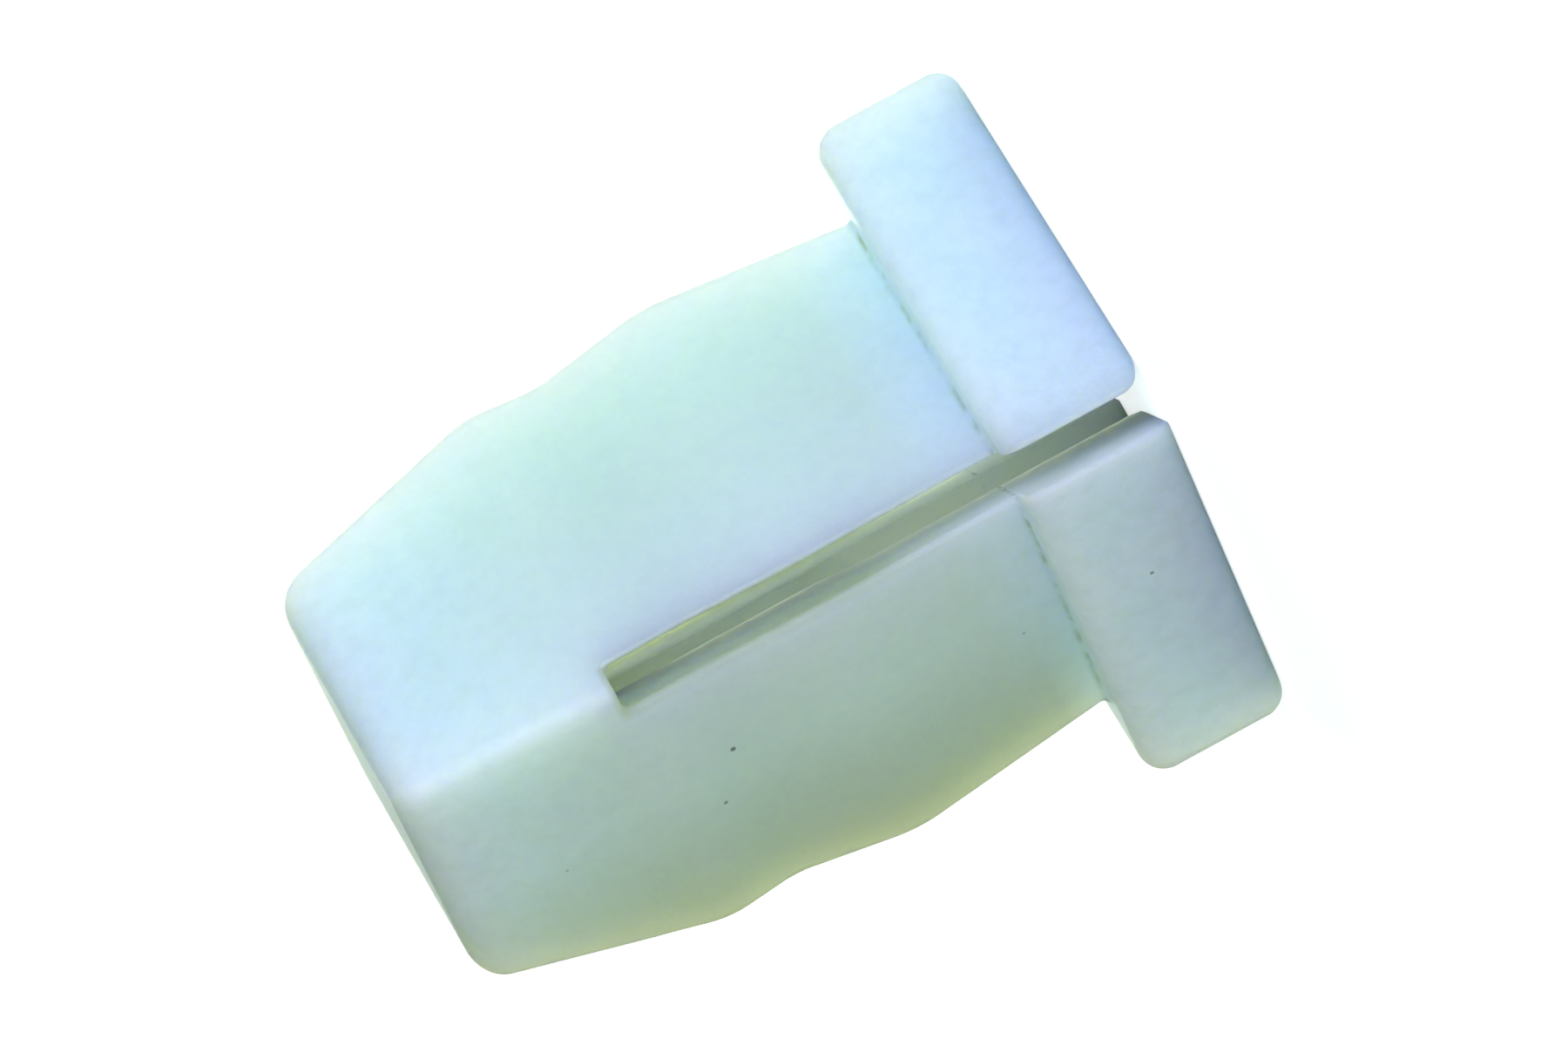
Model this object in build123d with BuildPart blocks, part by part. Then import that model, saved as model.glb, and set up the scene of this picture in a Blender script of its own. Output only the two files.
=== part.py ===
from build123d import *

import os

# Square-headed expansion nut, moulded in one piece from natural nylon.
#
# The nut is pushed tip first into a square hole in a panel. Its head seats on the panel and the swelling of the
# shank snaps out behind it. A self-tapping screw driven into the bore then forces the two legs apart.
#
# Frame: millimetres, +Z up. The nut stands on the outer face of its head, which is centred on the origin, and
# its tip points along +Z. The slot between the legs runs through the corners at (+X, -Y) and (-X, +Y).

# Head: a square plate with softened edges.
head_width = 12.7
head_thickness = 3.85
head_corner_radius = 0.5
head_outer_edge_radius = 0.6
head_panel_edge_radius = 0.65

# Shank: half of its width across the flats where it leaves the head, and how far the wave on each flat then
# rises or falls on each of its four slopes.
root_half_width = 4.73
swell_rise = 0.43
waist_fall = 0.34
shoulder_rise = 0.13
tip_fall = 1.09

# Lengths of the same four slopes along the axis.
root_to_swell = 5.5
swell_to_waist = 3.1
waist_to_shoulder = 1.9
shoulder_to_tip = 6.0

# Roundings of the wave's three turns.
swell_radius = 6.0
waist_radius = 5.0
shoulder_radius = 4.0

# Roundings of the shank's edges.
shank_corner_radius = 0.43
tip_edge_radius = 0.9
root_fillet_radius = 0.19

# Slot that splits the head and most of the shank into two legs, and ends short of the tip that joins them.
slot_width = 1.1
slot_height = 10.65
slot_end_radius = 0.25
slot_edge_radius = 0.1
slot_mouth_radius = 0.7

# Screw bore, sunk from the outer face of the head: a wide clearance stretch with a chamfered mouth, a taper,
# and the narrower pilot stretch that the screw's thread cuts into. A wall closes it off at the tip.
clearance_radius = 2.4
clearance_depth = 7.5
mouth_chamfer = 0.4
taper_length = 1.5
pilot_radius = 1.6
pilot_end_chamfer = 0.6
tip_wall = 2.55

# Widths and places along the axis that follow from the sizes above.
swell_half_width = root_half_width + swell_rise
waist_half_width = swell_half_width - waist_fall
shoulder_half_width = waist_half_width + shoulder_rise
tip_half_width = shoulder_half_width - tip_fall
panel_face_z = head_thickness
swell_z = panel_face_z + root_to_swell
waist_z = swell_z + swell_to_waist
shoulder_z = waist_z + waist_to_shoulder
tip_z = shoulder_z + shoulder_to_tip
slot_end_z = panel_face_z + slot_height
taper_end_z = clearance_depth + taper_length
pilot_end_z = tip_z - tip_wall
cut_reach = head_width
same_place = 0.001


def shank_profile():
    """Outline of the shank seen square to a flat: the wave on one side, mirrored about the axis."""
    root = (root_half_width, panel_face_z)
    swell = (swell_half_width, swell_z)
    waist = (waist_half_width, waist_z)
    shoulder = (shoulder_half_width, shoulder_z)
    tip = (tip_half_width, tip_z)
    with BuildLine() as profile:
        turn_radii = (swell_radius, waist_radius, shoulder_radius)
        FilletPolyline(root, swell, waist, shoulder, tip, radius=turn_radii)
        Line(tip, (0, tip_z))
        Line(root, (0, panel_face_z))
        mirror(about=Plane.YZ)
    return profile.edges()


def on_corner(edge):
    """True for the edges where two flats of the shank meet."""
    centre = edge.center()
    return abs(abs(centre.X) - abs(centre.Y)) < same_place


def on_head_corner(edge):
    """True for the edges where two flats of the head meet."""
    return on_corner(edge) and edge.center().Z < panel_face_z and abs(edge.center().X) > root_half_width


def on_root(edge):
    """True for the edges where the shank meets the head."""
    centre = edge.center()
    within_shank = max(abs(centre.X), abs(centre.Y)) < root_half_width + same_place
    return within_shank and abs(centre.Z - panel_face_z) < same_place


# The section's plane is square to the slot: its x runs across the slot and its y is the nut's axis.
slot_section_plane = Plane(origin=(0, 0, 0), x_dir=(1, 1, 0), z_dir=(1, -1, 0))


def off_slot_middle(point):
    """Distance of a point from the middle plane of the slot."""
    return abs(slot_section_plane.to_local_coords(Vector(point)).X)


def on_slot_rim(edge):
    """True for the edges where a side of the slot comes out through the nut's surface."""
    ends_on_side = all(abs(off_slot_middle(edge @ end) - slot_width / 2) < same_place for end in (0, 1))
    return ends_on_side and edge.center().Z < slot_end_z - slot_end_radius + same_place


with BuildPart() as nut_body:
    # Shank: the wave cut both ways, so that it swells and narrows on all four flats.
    with BuildSketch(Plane.XZ):
        make_face(shank_profile())
    extrude(amount=cut_reach, both=True)
    with BuildSketch(Plane.YZ):
        make_face(shank_profile())
    extrude(amount=cut_reach, both=True, mode=Mode.INTERSECT)
    fillet(nut_body.faces().sort_by(Axis.Z)[-1].edges(), radius=tip_edge_radius)
    fillet(nut_body.edges().filter_by(on_corner), radius=shank_corner_radius)

    # Head: softened more than a plain plate, so that no edge of it is sharp to the hand.
    with BuildSketch(Plane.XY):
        Rectangle(head_width, head_width)
    extrude(amount=head_thickness)
    fillet(nut_body.faces().sort_by(Axis.Z)[0].edges(), radius=head_outer_edge_radius)
    panel_face = nut_body.faces().filter_by(Axis.Z).sort_by(Axis.Z)[-2]
    fillet(panel_face.outer_wire().edges(), radius=head_panel_edge_radius)
    fillet(nut_body.edges().filter_by(on_head_corner), radius=head_corner_radius)
    fillet(nut_body.edges().filter_by(on_root), radius=root_fillet_radius)

    # Slot: corner to corner, open at the outer face of the head.
    with BuildSketch(slot_section_plane) as slot_section:
        Rectangle(slot_width, slot_end_z, align=(Align.CENTER, Align.MIN))
        fillet(slot_section.vertices().sort_by(Axis.Y)[-2:], radius=slot_end_radius)
    extrude(amount=cut_reach, both=True, mode=Mode.SUBTRACT)
    fillet(nut_body.edges().filter_by(on_slot_rim), radius=slot_edge_radius)

    # Slot mouth: the two long edges at the outer face of the head are rounded more than the other rims.
    with BuildSketch(slot_section_plane):
        with BuildLine():
            on_side = (slot_width / 2, slot_mouth_radius)
            on_face = (slot_width / 2 + slot_mouth_radius, 0)
            RadiusArc(on_side, on_face, -slot_mouth_radius)
            Polyline(on_face, (0, 0), (0, slot_mouth_radius), on_side)
            mirror(about=Plane.YZ)
        make_face()
    extrude(amount=cut_reach, both=True, mode=Mode.SUBTRACT)

    # Bore: turned about the axis of the nut.
    with BuildSketch(Plane.XZ):
        with BuildLine():
            Polyline(
                (0, 0),
                (clearance_radius + mouth_chamfer, 0),
                (clearance_radius, mouth_chamfer),
                (clearance_radius, clearance_depth),
                (pilot_radius, taper_end_z),
                (pilot_radius, pilot_end_z - pilot_end_chamfer),
                (pilot_radius - pilot_end_chamfer, pilot_end_z),
                (0, pilot_end_z),
                close=True,
            )
        make_face()
    revolve(axis=Axis.Z, mode=Mode.SUBTRACT)

nut_body.part.label = "nut_body"
os.makedirs("parts", exist_ok=True)
export_step(nut_body.part, "parts/nut_body.step")
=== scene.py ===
# %% [markdown]
# # A moulded nylon expansion nut
#
# The nut is one piece of natural nylon. It is pushed tip first into a square hole in a panel, and a screw
# driven into it forces its two legs apart behind the panel. This lesson loads its measured solid, gives it
# the look of moulded nylon, and sets up a small white studio with the camera at the photograph's angle.
#
# The nut stands on the outer face of its head, with its tip up. Everything here is in metres, in that frame.

import math

import bmesh
import bpy
from mathutils import Matrix, Vector


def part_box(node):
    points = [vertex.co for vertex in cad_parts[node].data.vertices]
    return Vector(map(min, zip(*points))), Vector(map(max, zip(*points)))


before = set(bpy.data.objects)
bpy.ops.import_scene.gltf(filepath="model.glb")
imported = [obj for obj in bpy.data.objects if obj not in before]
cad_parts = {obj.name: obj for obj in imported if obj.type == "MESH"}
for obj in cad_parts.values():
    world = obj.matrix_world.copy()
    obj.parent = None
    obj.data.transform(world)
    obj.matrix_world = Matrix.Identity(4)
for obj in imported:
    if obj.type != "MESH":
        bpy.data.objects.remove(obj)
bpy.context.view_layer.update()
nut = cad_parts["nut_body"]
print("the nut has", len(nut.data.polygons), "faces")

# %% [markdown]
# ## Sizes
#
# A small part is easiest to think of in millimetres, so lengths are written that way and turned to metres by
# one function. The box of the nut comes from the solid itself.

# %% Work in millimetres
MM = 0.001


def mm(*lengths):
    """Millimetres to metres, one value or a vector of three."""
    return lengths[0] * MM if len(lengths) == 1 else Vector(lengths) * MM


nut_low, nut_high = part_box("nut_body")
nut_middle = (nut_low + nut_high) / 2
print("the nut is", [round(side / MM, 2) for side in nut_high - nut_low], "mm")

# %% [markdown]
# ## Helpers for materials
#
# Colours are picked from a screen, in sRGB, so one function turns a hex value to the linear values
# that the shader wants. Another adds a node, gives it its settings and links its inputs, which keeps each
# material short enough to read as a list of what the surface has.

# %% Colour and node helpers
def linear(hex_colour):
    """An sRGB hex value, such as "c0ffee", as linear red, green, blue and full alpha."""
    channels = [int(hex_colour[i:i + 2], 16) / 255 for i in (0, 2, 4)]
    curve = [c / 12.92 if c <= 0.04045 else ((c + 0.055) / 1.055) ** 2.4 for c in channels]
    return (*curve, 1.0)


def add_node(material, kind, inputs=None, **settings):
    """Adds a node with its settings. An input is given a value, or the socket that feeds it."""
    node = material.node_tree.nodes.new(kind)
    for name, value in settings.items():
        setattr(node, name, value)
    for socket, value in (inputs or {}).items():
        if isinstance(value, bpy.types.NodeSocket):
            material.node_tree.links.new(value, node.inputs[socket])
        else:
            node.inputs[socket].default_value = value
    return node


def new_material(name):
    """An empty node material and its output node."""
    material = bpy.data.materials.new(name)
    material.use_nodes = True
    material.node_tree.nodes.clear()
    return material, material.node_tree.nodes.new("ShaderNodeOutputMaterial")


# %% [markdown]
# ## Natural nylon
#
# The nut is nylon 6/6 with no pigment, injection moulded in a steel tool. Such nylon is milky: light goes
# some millimetres into it and scatters, so its edges look soft and the slot never goes quite black. Blue
# light is scattered soonest and the rest goes deeper, so solid lumps of it look icy blue and thin walls look
# olive. A flat colour on a diffuse shader would give none of this. A Principled shader with random-walk
# subsurface scattering does.

# %% Colours of the nylon
# The colour that the eye takes for the plastic's own, and the same where the melt cooled a little slower.
NYLON_MILKY = "d3eff8"
NYLON_CLOUDED = "cceaf4"
# Painted shade: where the wall over the bore is thin, the colour is darker and less blue, standing in for the
# dimmer, olive light that comes back through it.
THIN_WALL_PAINTED_SHADE = "c6ddd6"
# The walls of the slot and the bore pass light to and fro many times. A paler colour is painted light that
# stands for the bounces that a render leaves out. Towards the slot's rim on the shank they are painted dull
# and olive instead, as painted shade.
INSIDE_PAINTED_LIGHT = "eafcff"
SLOT_RIM_PAINTED_SHADE = "a8b898"
# Painted shade: darker and more olive towards the outer corner of one leg, the -X, -Y one, on the flat turned
# from the light.
CORNER_PAINTED_SHADE = "9fa797"

# How deep light goes, and that depth for red, green and blue. Blue turns back soonest.
LIGHT_DEPTH = mm(7)
DEPTH_OF_EACH_COLOUR = (1.05, 1.15, 0.5)

# The skin's gloss follows from how nylon bends light. The thin blade that forms the slot in the tool leaves
# its walls dull, and they are given no gloss.
REFRACTION = 1.53
SKIN_GLOSS = 0.5
print("light goes about", round(LIGHT_DEPTH / MM, 1), "mm deep")

# %% [markdown]
# ## Where its colour changes
#
# The colour, with the light and shade painted into it, depends on what lies under the skin: the hollow shank,
# the solid head and tip, the walls of the slot and the bore. All of them can be told apart by two distances,
# from the nut's axis and from the middle plane of the slot, and by the height above the floor.

# %% Places on the nut
CREASE_HEIGHT = mm(3.85)

# The slot, which runs through two opposite corners, and the bore, each a little wider than it is. The painted
# light and shade of the slot's walls fades out over the lip of the -X, -Y leg, and ends at once on the other
# leg.
SLOT_NORMAL = (math.sqrt(0.5), math.sqrt(0.5), 0.0)
SLOT_HALF_WIDTH = mm(0.56)
SLOT_TOP = mm(14.5)
BORE_RADIUS = mm(2.6)
WALL_FADE = mm(0.1)
LIP_FADE = mm(0.35)

# Distances from the axis between which the wall over the bore counts as thin and as thick, and the heights
# over which the hollow shank sets in past the head and gives way to the solid tip.
THIN_WALL_RADIUS = mm(4.8)
THICK_WALL_RADIUS = mm(12)
HOLLOW_FROM = (mm(3.6), mm(6))
HOLLOW_TO = (mm(14), mm(21))

# Distances from the axis, and heights, over which the slot's wall turns from pale painted light to dull olive
# painted shade.
RIM_SHADE_OUTWARDS = (mm(3), mm(6.2))
RIM_SHADE_UPWARDS = (mm(3.5), mm(8))

# Distances from the slot's middle plane, and heights, over which the painted shade on the corner of the leg
# sets in.
CORNER_SHADE_OUTWARDS = (mm(3.2), mm(6.8))
CORNER_SHADE_UPWARDS = (mm(3.8), mm(5))
CORNER_SHADE_DEPTH = 0.85
print("the colours change at the crease,", round(CREASE_HEIGHT / MM, 2), "mm up")


# %% Helpers that find those places
def ramp(material, value, low, high, to_low=0.0, to_high=1.0):
    """Spreads a value from between low and high to between to_low and to_high, and holds it there outside."""
    limits = {"Value": value, "From Min": low, "From Max": high, "To Min": to_low, "To Max": to_high}
    return add_node(material, "ShaderNodeMapRange", limits).outputs["Result"]


def times(material, one, other):
    return add_node(material, "ShaderNodeMath", {0: one, 1: other}, operation="MULTIPLY").outputs[0]


def blend_colour(material, factor, below, above):
    inputs = {"Factor": factor, "A": below, "B": above}
    return add_node(material, "ShaderNodeMix", inputs, data_type="RGBA").outputs["Result"]


def from_axis_and_height(material, place):
    """The distance from the nut's axis, and the height above the floor."""
    level = {0: place, 1: (1.0, 1.0, 0.0)}
    flat = add_node(material, "ShaderNodeVectorMath", level, operation="MULTIPLY").outputs[0]
    from_axis = add_node(material, "ShaderNodeVectorMath", {0: flat}, operation="LENGTH").outputs["Value"]
    return from_axis, add_node(material, "ShaderNodeSeparateXYZ", {"Vector": place}).outputs["Z"]


def across_slot(material, place):
    """The distance from the middle plane of the slot, below 0 on the -X, -Y leg."""
    inputs = {0: place, 1: SLOT_NORMAL}
    return add_node(material, "ShaderNodeVectorMath", inputs, operation="DOT_PRODUCT").outputs["Value"]


def over_bore(material, place):
    """1 on the hollow shank where its wall is thin, less at its corners, and 0 on the solid head and tip."""
    from_axis, height = from_axis_and_height(material, place)
    thin = ramp(material, from_axis, THIN_WALL_RADIUS, THICK_WALL_RADIUS, 1.0, 0.0)
    past_head = ramp(material, height, *HOLLOW_FROM)
    before_tip = ramp(material, height, *HOLLOW_TO, 1.0, 0.0)
    return times(material, thin, times(material, past_head, before_tip))


def painted_corner_shade(material, place):
    """Painted shade: rises from 0 towards the outer corner of the -X, -Y leg, and stops at the head."""
    near, far = CORNER_SHADE_OUTWARDS
    outwards = ramp(material, across_slot(material, place), -near, -far, 0.0, CORNER_SHADE_DEPTH)
    height = from_axis_and_height(material, place)[1]
    return times(material, outwards, ramp(material, height, *CORNER_SHADE_UPWARDS))


def inside(material, place):
    """1 on the walls of the slot and the bore, the only surfaces so near the slot's plane or the axis, fading
    out over the lip of the -X, -Y leg. Their colour is painted light and shade.
    """
    from_axis, height = from_axis_and_height(material, place)
    across = across_slot(material, place)
    past_lip = ramp(material, across, -SLOT_HALF_WIDTH - LIP_FADE, -SLOT_HALF_WIDTH)
    before_other = ramp(material, across, SLOT_HALF_WIDTH, SLOT_HALF_WIDTH + WALL_FADE, 1.0, 0.0)
    in_slot = times(material, past_lip, before_other)
    in_bore = ramp(material, from_axis, BORE_RADIUS, BORE_RADIUS + WALL_FADE, 1.0, 0.0)
    below_tip = ramp(material, height, SLOT_TOP, SLOT_TOP + 2 * WALL_FADE, 1.0, 0.0)
    either = add_node(material, "ShaderNodeMath", {0: in_slot, 1: in_bore}, operation="MAXIMUM").outputs[0]
    return times(material, either, below_tip)


def near_rim(material, place):
    """Within the slot, 0 deep down where the painted light is, and 1 at the shank's rim where the painted
    shade is, falling away again in the head.
    """
    from_axis, height = from_axis_and_height(material, place)
    outwards = ramp(material, from_axis, *RIM_SHADE_OUTWARDS)
    return times(material, outwards, ramp(material, height, *RIM_SHADE_UPWARDS))


# %% [markdown]
# ## What spoils its evenness
#
# Up close the real plastic isn't even. It has faint clouds, a fine mottle of dust in its pits, a satin skin
# copied from the spark-eroded tool and a few dark flecks of scorched melt, and a darker broken line runs
# along the crease where the shank meets the head. Each is one small texture on Object coordinates, sized in
# millimetres, so it stays put on the nut from every side.

# %% Sizes of the marks
# Clouds, which also polish the skin a little. The pair is the part of the noise that they are spread over.
CLOUD_SIZE = mm(2.4)
CLOUD_SPREAD = (0.36, 0.64)
ROUGH_IN_CLOUD = 0.66
ROUGH_BETWEEN = 0.56

# The real mottle is as fine as 0.1 mm. It is drawn coarser, or it would not show at this distance.
MOTTLE_SIZE = mm(0.5)
MOTTLE_SPREAD = (0.42, 0.7)
MOTTLE_DEPTH = 0.22
MOTTLE_COLOUR = "b8cfca"

# The tool's grain is about 0.03 mm, and is drawn coarser for the same reason.
TOOL_GRAIN = mm(0.12)
GRAIN_DEPTH = mm(0.02)
GRAIN_STRENGTH = 0.25

# One cell in four of a pattern has a fleck, dark to a part of its radius and then fading. The shift only
# picks which cells those are.
FLECK_SPACING = mm(1.5)
FLECK_RADIUS = mm(0.09)
FLECK_DARK_PART = 0.6
FLECK_SHARE = 0.25
FLECK_SHIFT = mm(54.8, 36.4, 85.2)
FLECK_COLOUR = "6f7a70"

# The darker line in the crease: its width, the parts of it where it sets in, is full, thins and ends, the
# length of its broken stretches, the part of the noise that breaks it, and its colour.
CREASE_WIDTH = mm(0.15)
CREASE_PARTS = (0.05, 0.25, 0.5, 1)
CREASE_BREAK_LENGTH = mm(0.8)
CREASE_BREAK_SPREAD = (0.45, 0.65)
CREASE_LINE_COLOUR = "aec2be"
print("one fleck to about", round((FLECK_SPACING / MM) ** 3 / FLECK_SHARE, 1), "cubic mm")


# %% Textures of the marks
def noise(material, place, size, detail=2.0):
    """Cloudy noise whose lumps are about the given size in metres."""
    inputs = {"Vector": place, "Scale": 1 / size, "Detail": detail}
    return add_node(material, "ShaderNodeTexNoise", inputs).outputs["Fac"]


def flecks(material, place):
    """Scorched flecks: a small ball round the middle of some cells of a Voronoi pattern, seen where cut."""
    moved = add_node(material, "ShaderNodeVectorMath", {0: place, 1: FLECK_SHIFT}, operation="ADD").outputs[0]
    cells = add_node(material, "ShaderNodeTexVoronoi", {"Vector": moved, "Scale": 1 / FLECK_SPACING})
    reach = FLECK_RADIUS / FLECK_SPACING
    spot = ramp(material, cells.outputs["Distance"], FLECK_DARK_PART * reach, reach, 1.0, 0.0)
    chance = add_node(material, "ShaderNodeSeparateColor", {"Color": cells.outputs["Color"]}).outputs["Red"]
    kept = add_node(material, "ShaderNodeMath", {0: chance, 1: FLECK_SHARE}, operation="LESS_THAN").outputs[0]
    return times(material, spot, kept)


def darker_crease_line(material, place):
    """A thin, darker broken line just above the face of the head, which only the crease round the shank
    reaches.
    """
    height = add_node(material, "ShaderNodeSeparateXYZ", {"Vector": place}).outputs["Z"]
    start, full, thinning, end = (CREASE_HEIGHT + part * CREASE_WIDTH for part in CREASE_PARTS)
    above = ramp(material, height, start, full)
    below = ramp(material, height, thinning, end, 1.0, 0.0)
    broken = ramp(material, noise(material, place, CREASE_BREAK_LENGTH), *CREASE_BREAK_SPREAD)
    return times(material, times(material, above, below), broken)


# %% [markdown]
# ## The finished nylon
#
# The colours are laid over each other from the widest to the smallest: clouds, the painted shade of the thin
# wall, mottle, the painted shade on the corner, the painted light and shade of the walls inside, the crease
# line and flecks.

# %% Make the nylon
def moulded_natural_nylon():
    material, output = new_material("moulded natural nylon")
    place = add_node(material, "ShaderNodeTexCoord").outputs["Object"]

    cloud = ramp(material, noise(material, place, CLOUD_SIZE, detail=4.0), *CLOUD_SPREAD)
    specks = noise(material, place, MOTTLE_SIZE, detail=4.0)
    mottle = ramp(material, specks, *MOTTLE_SPREAD, 0.0, MOTTLE_DEPTH)
    # Painted light, paler, deep in the slot and the bore, turning to painted shade, dull olive, towards the
    # rim.
    wall = blend_colour(material, near_rim(material, place), linear(INSIDE_PAINTED_LIGHT), linear(SLOT_RIM_PAINTED_SHADE))

    colour = blend_colour(material, cloud, linear(NYLON_CLOUDED), linear(NYLON_MILKY))
    # Painted shade: darker and less blue over the thin wall of the hollow shank.
    colour = blend_colour(material, over_bore(material, place), colour, linear(THIN_WALL_PAINTED_SHADE))
    colour = blend_colour(material, mottle, colour, linear(MOTTLE_COLOUR))
    # Painted shade: darker and olive towards the outer corner of the -X, -Y leg.
    colour = blend_colour(material, painted_corner_shade(material, place), colour, linear(CORNER_PAINTED_SHADE))
    # Where the painted light and shade of the slot and bore walls go, spreading over the lip of the -X, -Y
    # leg.
    hidden = inside(material, place)
    colour = blend_colour(material, hidden, colour, wall)
    # A darker broken line along the crease round the shank.
    colour = blend_colour(material, darker_crease_line(material, place), colour, linear(CREASE_LINE_COLOUR))
    colour = blend_colour(material, flecks(material, place), colour, linear(FLECK_COLOUR))

    height = noise(material, place, TOOL_GRAIN)
    grain = {"Height": height, "Strength": GRAIN_STRENGTH, "Distance": GRAIN_DEPTH}
    shader = add_node(
        material, "ShaderNodeBsdfPrincipled",
        {
            "Base Color": colour,
            "Roughness": ramp(material, cloud, 0.0, 1.0, ROUGH_IN_CLOUD, ROUGH_BETWEEN),
            "IOR": REFRACTION,
            "Specular IOR Level": ramp(material, hidden, 0.0, 1.0, SKIN_GLOSS, 0.0),
            "Subsurface Weight": 1.0,
            "Subsurface Radius": DEPTH_OF_EACH_COLOUR,
            "Subsurface Scale": LIGHT_DEPTH,
            "Normal": add_node(material, "ShaderNodeBump", grain).outputs["Normal"],
        },
        subsurface_method="RANDOM_WALK",
    )
    material.node_tree.links.new(shader.outputs["BSDF"], output.inputs["Surface"])
    return material


nut.data.materials.clear()
nut.data.materials.append(moulded_natural_nylon())
print("the nut is", nut.data.materials[0].name)

# %% [markdown]
# ## Floor
#
# The nut stands on a sheet of white paper big enough to fill the view. To the camera the paper and the world
# beyond it glow plain white, as a lit paper sweep does, and a little less by the nut, so that its shadow
# still shows. A hair's gap under the foot keeps the two surfaces from flickering into each other.

# %% Lay the floor
PAPER_COLOUR = "e4f4ff"
WHITE = "ffffff"
FLOOR_SIDE = 4.0
FLOOR_GAP = mm(0.02)

# How strong the glow is by the nut, where 1 is plain white, and the distances over which it grows to 1.
GLOW_BY_NUT = 0.68
GLOW_REACH = (mm(10), mm(150))


def white_paper():
    material, output = new_material("white paper")
    diffuse = add_node(material, "ShaderNodeBsdfDiffuse", {"Color": linear(PAPER_COLOUR)})
    place = add_node(material, "ShaderNodeTexCoord").outputs["Object"]
    from_nut = add_node(material, "ShaderNodeVectorMath", {0: place}, operation="LENGTH").outputs["Value"]
    strength = ramp(material, from_nut, *GLOW_REACH, GLOW_BY_NUT, 1.0)
    glow = add_node(material, "ShaderNodeEmission", {"Color": linear(WHITE), "Strength": strength})
    both = add_node(material, "ShaderNodeAddShader", {0: diffuse.outputs[0], 1: glow.outputs[0]})
    rays = add_node(material, "ShaderNodeLightPath")
    seen = add_node(
        material, "ShaderNodeMixShader",
        {"Fac": rays.outputs["Is Camera Ray"], 1: diffuse.outputs[0], 2: both.outputs[0]},
    )
    material.node_tree.links.new(seen.outputs[0], output.inputs["Surface"])
    return material


sheet = bmesh.new()
bmesh.ops.create_grid(sheet, x_segments=1, y_segments=1, size=FLOOR_SIDE / 2)
floor = bpy.data.objects.new("floor", bpy.data.meshes.new("floor"))
sheet.to_mesh(floor.data)
sheet.free()
bpy.context.scene.collection.objects.link(floor)
floor.location.z = -FLOOR_GAP
floor.data.materials.append(white_paper())
print("the floor is", FLOOR_SIDE, "m across")

# %% [markdown]
# ## Light
#
# Milky plastic is judged by the light that passes through it as much as by the light that falls on it. A big
# warm lamp beside the camera lights both flats in front. A big blue one at the side adds to the right-hand
# flat alone, which parts the two, and a small cool one close by softens the edge between them. The last
# shines along the slot from behind and makes its walls glow. The numbers are watts: the nut is tiny and the
# lamps are near, so they are small.

# %% Hang the lamps
def around(azimuth, elevation, distance):
    """A place at an angle about the nut. Azimuth 0 is on the -Y side and 90 on the +X side."""
    turn, lift = math.radians(azimuth), math.radians(elevation)
    level = Vector((math.sin(turn), -math.cos(turn), 0))
    return nut_middle + (level * math.cos(lift) + Vector((0, 0, math.sin(lift)))) * distance


def soft_lamp(name, azimuth, elevation, distance, side, power, colour):
    """A square area lamp that faces the nut."""
    lamp = bpy.data.objects.new(name, bpy.data.lights.new(name, "AREA"))
    lamp.data.shape = "SQUARE"
    lamp.data.size = side
    lamp.data.energy = power
    lamp.data.color = linear(colour)[:3]
    lamp.location = around(azimuth, elevation, distance)
    lamp.rotation_euler = (nut_middle - lamp.location).to_track_quat("-Z", "Y").to_euler()
    bpy.context.scene.collection.objects.link(lamp)
    print("lamp", name, "at", [round(c / MM) for c in lamp.location], "mm")


soft_lamp("front lamp", 52, 20, mm(450), mm(300), 1.27, "fff8d8")
soft_lamp("near lamp", 66, 2, mm(85), mm(30), 0.03, "c8dcff")
soft_lamp("side lamp", 104, 16, mm(450), mm(300), 0.42, "74b0ff")
soft_lamp("back lamp", 217, 8, mm(450), mm(160), 2.3, "f8fff4")

# %% [markdown]
# ## The room around it
#
# Light also comes from the walls of a room. Here they are pale on the +X side and dark on the -X side, so the
# flat that is turned away stays the darker one. The camera alone sees plain white instead.

# %% Light the world
FILL_COLOUR = "fdfff0"
FILL_LOW = 0.0
FILL_HIGH = 0.24
# The X of the directions between which the fill grows, where 1 is straight along +X.
FILL_TURNS = (-0.2, 0.8)

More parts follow.
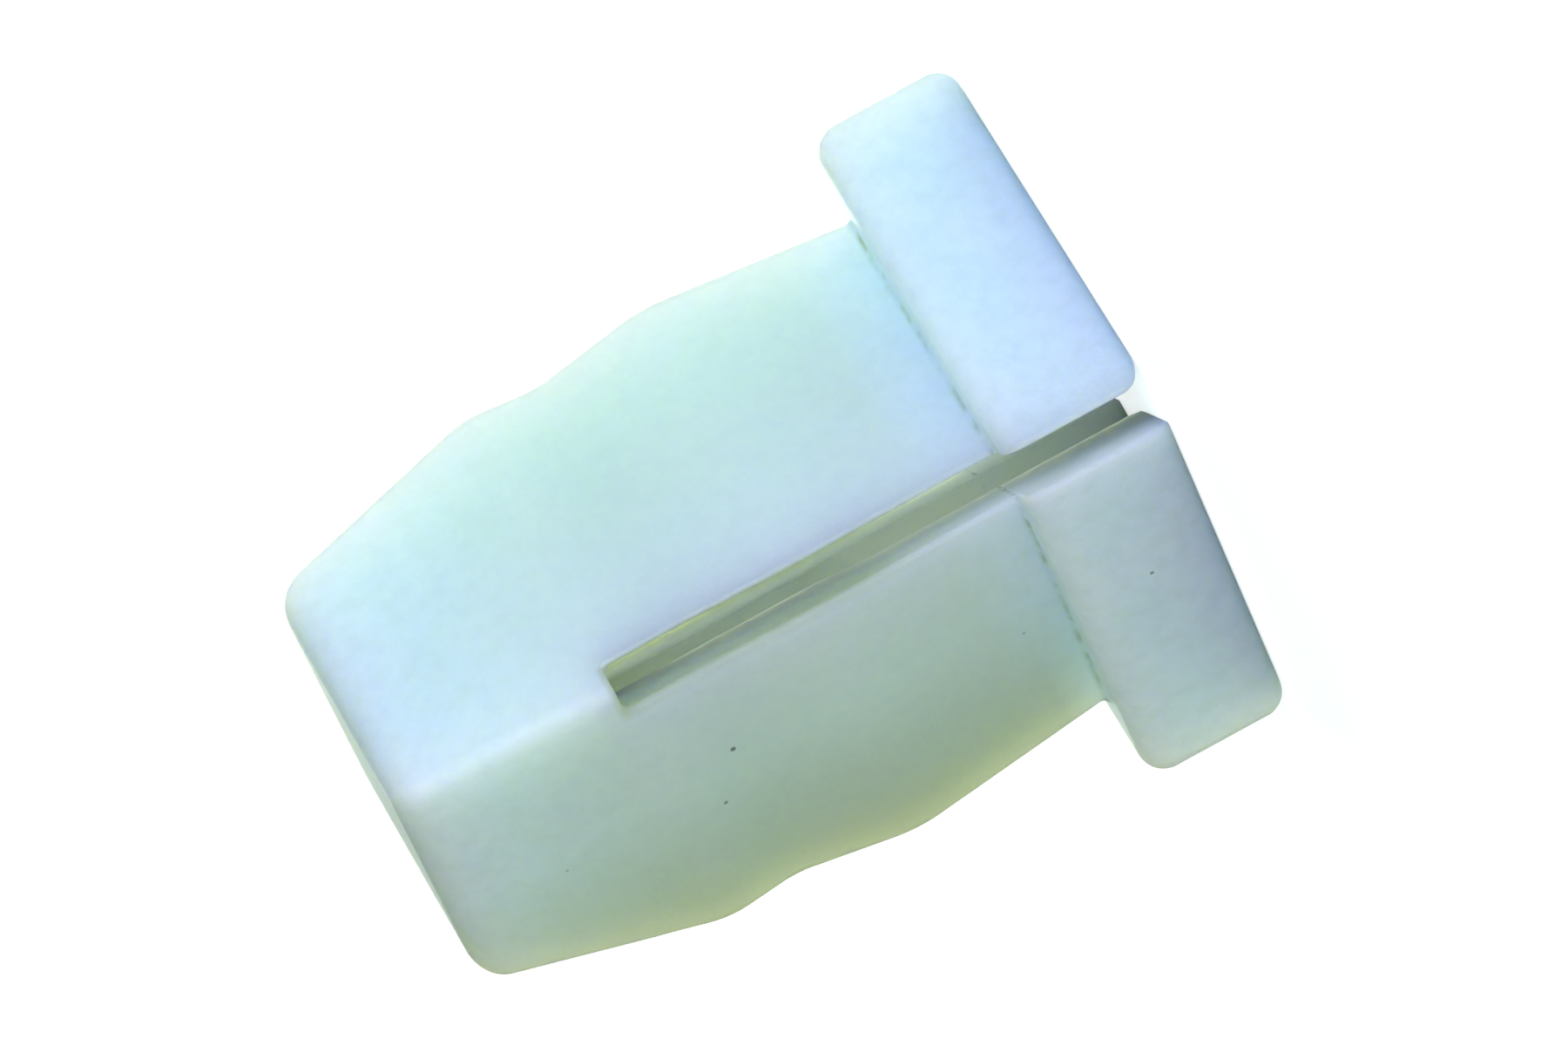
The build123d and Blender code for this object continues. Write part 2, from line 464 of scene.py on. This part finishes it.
world = bpy.data.worlds.new("studio")
bpy.context.scene.world = world
world.use_nodes = True
world.node_tree.nodes.clear()
rays = add_node(world, "ShaderNodeLightPath")
direction = add_node(world, "ShaderNodeTexCoord").outputs["Generated"]
to_side = add_node(world, "ShaderNodeSeparateXYZ", {"Vector": direction}).outputs["X"]
brightness = ramp(world, to_side, *FILL_TURNS, FILL_LOW, FILL_HIGH)
fill = add_node(world, "ShaderNodeBackground", {"Color": linear(FILL_COLOUR), "Strength": brightness})
white = add_node(world, "ShaderNodeBackground", {"Color": linear(WHITE), "Strength": 1.0})
seen = add_node(
    world, "ShaderNodeMixShader",
    {"Fac": rays.outputs["Is Camera Ray"], 1: fill.outputs[0], 2: white.outputs[0]},
)
add_node(world, "ShaderNodeOutputWorld", {"Surface": seen.outputs[0]})
print("the world's fill goes from", FILL_LOW, "to", FILL_HIGH)

# %% [markdown]
# ## Camera
#
# The photograph looks at the nut almost level, with one slotted corner nearest, and the picture is turned so
# that the tip points down to the left. A long lens from a little way off keeps the edges of the shank
# parallel.

# %% Place the camera
# Angles in degrees, the lens in millimetres of its own, and a point of aim a little off the nut's axis.
CAMERA_AZIMUTH = 50.4
CAMERA_ELEVATION = 3.02
CAMERA_ROLL = -118.64
CAMERA_DISTANCE = mm(400)
CAMERA_LENS = 382.0
CLIP_NEAR = mm(10)
CLIP_FAR = mm(10000)
AIM_HEIGHT = mm(10)
AIM_RIGHT = mm(0.676)
AIM_UP = mm(1.443)

azimuth, elevation = math.radians(CAMERA_AZIMUTH), math.radians(CAMERA_ELEVATION)
level = Matrix.Rotation(azimuth, 3, "Z") @ Matrix.Rotation(math.radians(90) - elevation, 3, "X")
turned = level @ Matrix.Rotation(math.radians(CAMERA_ROLL), 3, "Z")
right, up, back = (turned @ Vector(axis) for axis in ((1, 0, 0), (0, 1, 0), (0, 0, 1)))
aim = Vector((0, 0, AIM_HEIGHT)) + right * AIM_RIGHT + up * AIM_UP

camera = bpy.data.objects.new("camera", bpy.data.cameras.new("camera"))
camera.data.lens = CAMERA_LENS
camera.data.clip_start = CLIP_NEAR
camera.data.clip_end = CLIP_FAR
camera.matrix_world = Matrix.Translation(aim + back * CAMERA_DISTANCE) @ turned.to_4x4()
bpy.context.scene.collection.objects.link(camera)
bpy.context.scene.camera = camera
print("camera at", [round(c / MM, 1) for c in camera.matrix_world.translation], "mm")

# %% [markdown]
# ## Colours
#
# The picture's colours are kept as written, with no film look.

# %% Finish
bpy.context.scene.view_settings.view_transform = "Standard"
